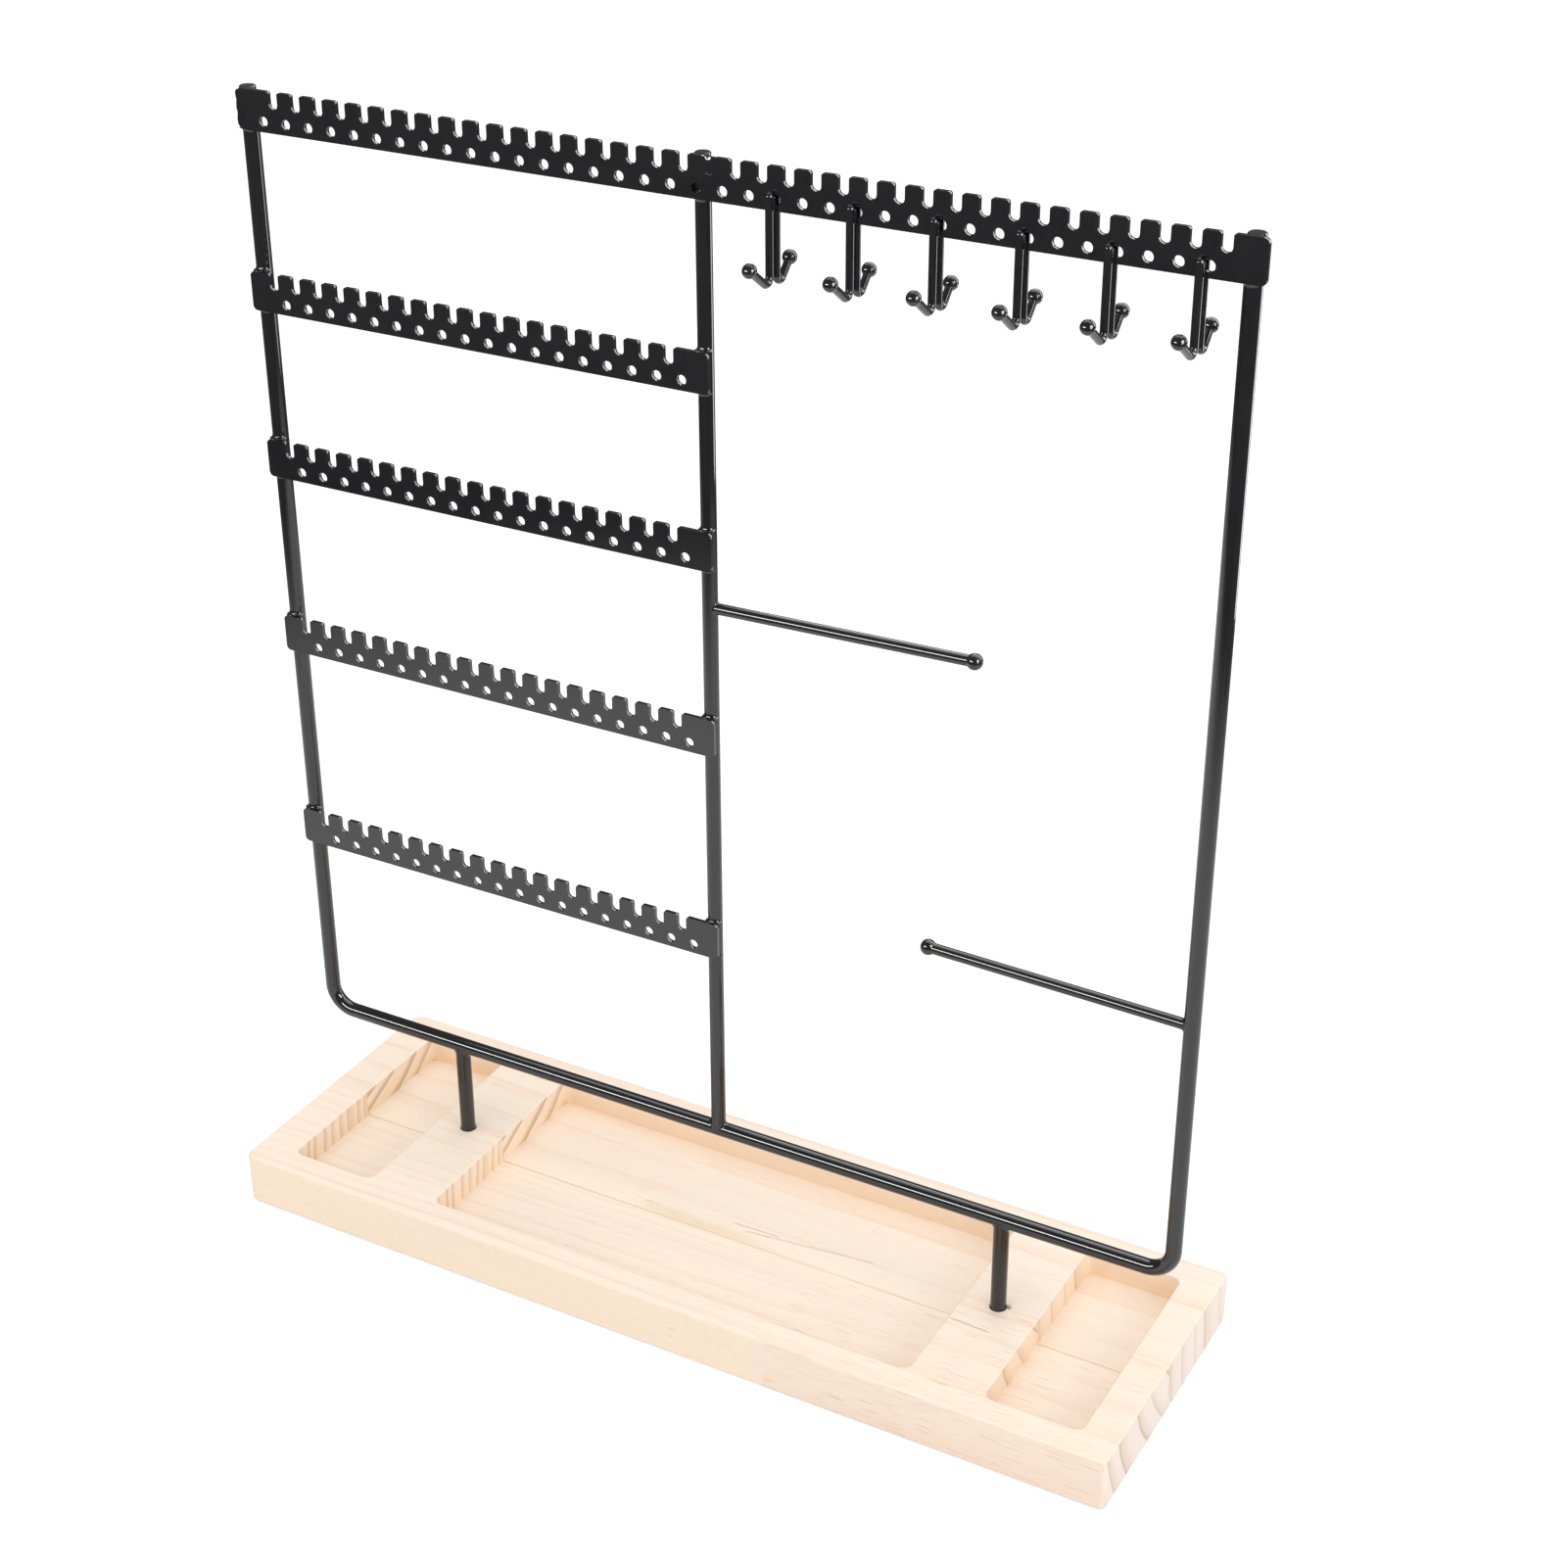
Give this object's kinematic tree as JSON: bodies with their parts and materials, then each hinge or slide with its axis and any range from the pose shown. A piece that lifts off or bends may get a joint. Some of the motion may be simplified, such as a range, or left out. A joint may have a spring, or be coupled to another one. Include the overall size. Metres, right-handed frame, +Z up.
{
  "type": "jewelry display rack",
  "caption": "Free-standing jewelry rack: welded wire frame with notched earring bars, necklace hooks and arms, plugged into a wooden tray base.",
  "frame": {"origin": "under the middle of the wire frame, in the plane of the base's underside", "axes": "+Z up, +X along the base to the right as seen from the front, -Y towards the viewer"},
  "size_m": [0.3044, 0.096, 0.353],
  "materials": {
    "pine": "clear sealed, satin",
    "black_coat": "gloss powder coat"
  },
  "bodies": {
    "base": {"base_front_left": "pine", "base_front_right": "pine", "base_back_left": "pine", "base_back_right": "pine"},
    "frame": {"outer_frame": "black_coat", "centre_upright": "black_coat", "left_post": "black_coat", "right_post": "black_coat", "top_earring_bar": "black_coat", "second_earring_bar": "black_coat", "third_earring_bar": "black_coat", "fourth_earring_bar": "black_coat", "fifth_earring_bar": "black_coat", "upper_necklace_arm": "black_coat", "lower_necklace_arm": "black_coat", "front_hook_1": "black_coat", "front_hook_2": "black_coat", "front_hook_3": "black_coat", "front_hook_4": "black_coat", "front_hook_5": "black_coat", "front_hook_6": "black_coat", "back_hook_1": "black_coat", "back_hook_2": "black_coat", "back_hook_3": "black_coat", "back_hook_4": "black_coat", "back_hook_5": "black_coat", "back_hook_6": "black_coat"}
  },
  "joints": [
    {"name": "frame_lift", "type": "slide", "parent": "base", "child": "frame", "axis": [0, 0, 1], "range_m": [0, 0.013]}
  ]
}
